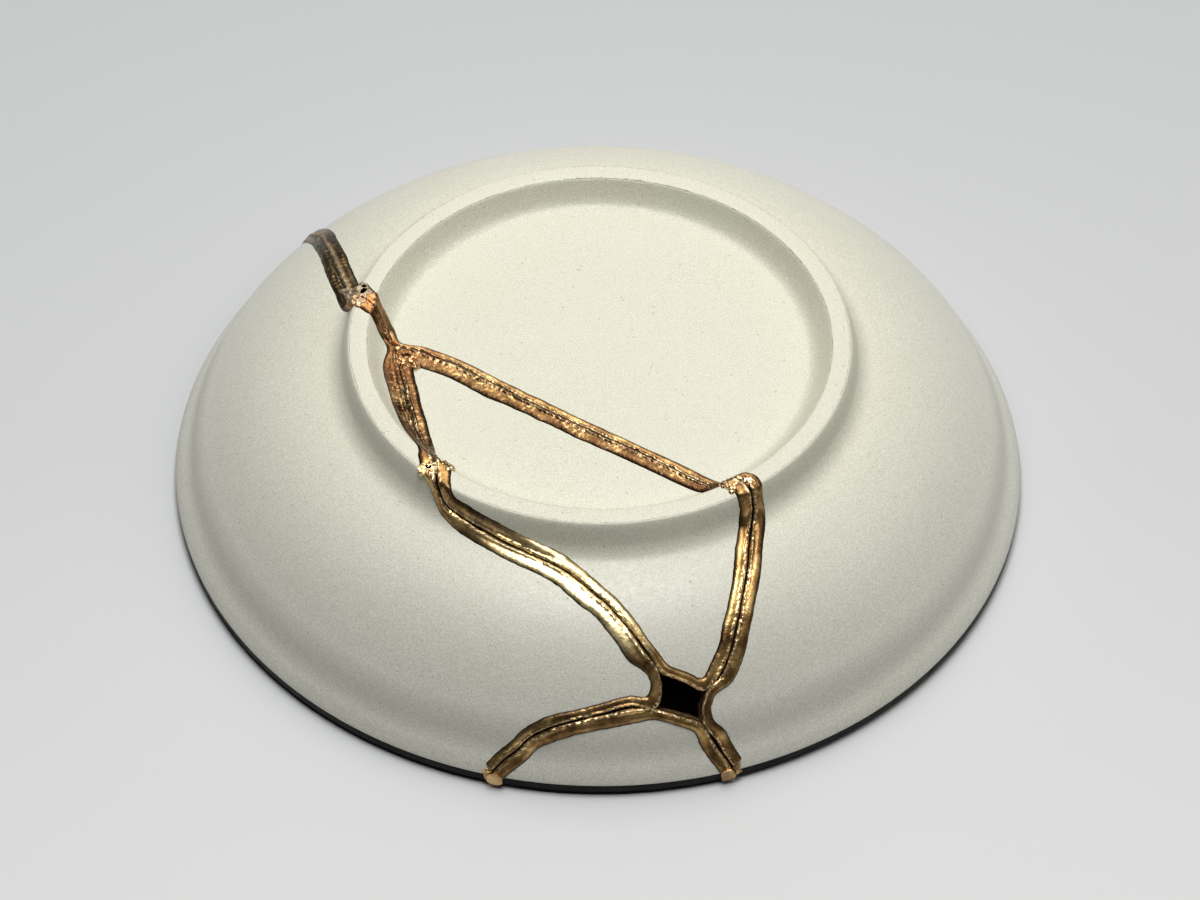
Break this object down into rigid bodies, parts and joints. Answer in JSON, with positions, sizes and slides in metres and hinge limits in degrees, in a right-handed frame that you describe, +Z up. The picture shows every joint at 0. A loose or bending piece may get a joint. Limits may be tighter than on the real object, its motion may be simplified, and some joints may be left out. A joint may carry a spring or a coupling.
{
  "type": "kintsugi plate",
  "caption": "Deep round footed stoneware plate, broken and mended with raised gold seams, one chip left open, standing upside down on its rim.",
  "frame": {"origin": "centre of the circle that the rim rests on, on the floor", "axes": "+Z up along the plate's axis from the rim to the foot ring; the small rim shard is on the -Y side, and +X is to the right of someone who looks along +Y"},
  "size_m": [0.22, 0.22, 0.0474],
  "materials": {
    "stoneware": "satin-matt cream, finely speckled outside; dark glaze inside",
    "gold": "polished, lumpy gold"
  },
  "bodies": {
    "root": {"main_shard": "stoneware", "left_shard": "stoneware", "middle_shard": "stoneware", "rim_shard": "stoneware", "main_gold_edge": "gold", "left_gold_edge": "gold", "middle_gold_edge": "gold", "rim_gold_edge": "gold"}
  },
  "joints": []
}
